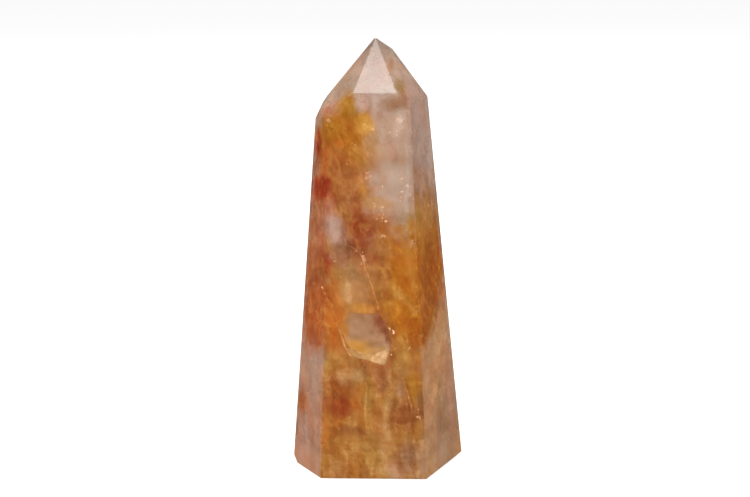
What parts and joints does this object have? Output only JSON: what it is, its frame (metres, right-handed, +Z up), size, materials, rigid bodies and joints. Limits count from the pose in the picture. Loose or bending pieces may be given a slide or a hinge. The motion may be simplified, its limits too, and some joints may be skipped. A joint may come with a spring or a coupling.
{
  "type": "quartz obelisk",
  "caption": "Polished obelisk of see-through quartz clouded with golden limonite, tapering to a faceted tip, which stands on its flat foot as an ornament.",
  "frame": {"origin": "middle of the flat foot, on the surface that the stone stands on", "axes": "+Z up from the foot to the tip, -Y out of the widest side, +X to the right of someone looking at that side"},
  "size_m": [0.0414, 0.0314, 0.1029],
  "materials": {
    "limonite_quartz": "polished"
  },
  "bodies": {
    "root": {"quartz_obelisk": "limonite_quartz"}
  },
  "joints": []
}
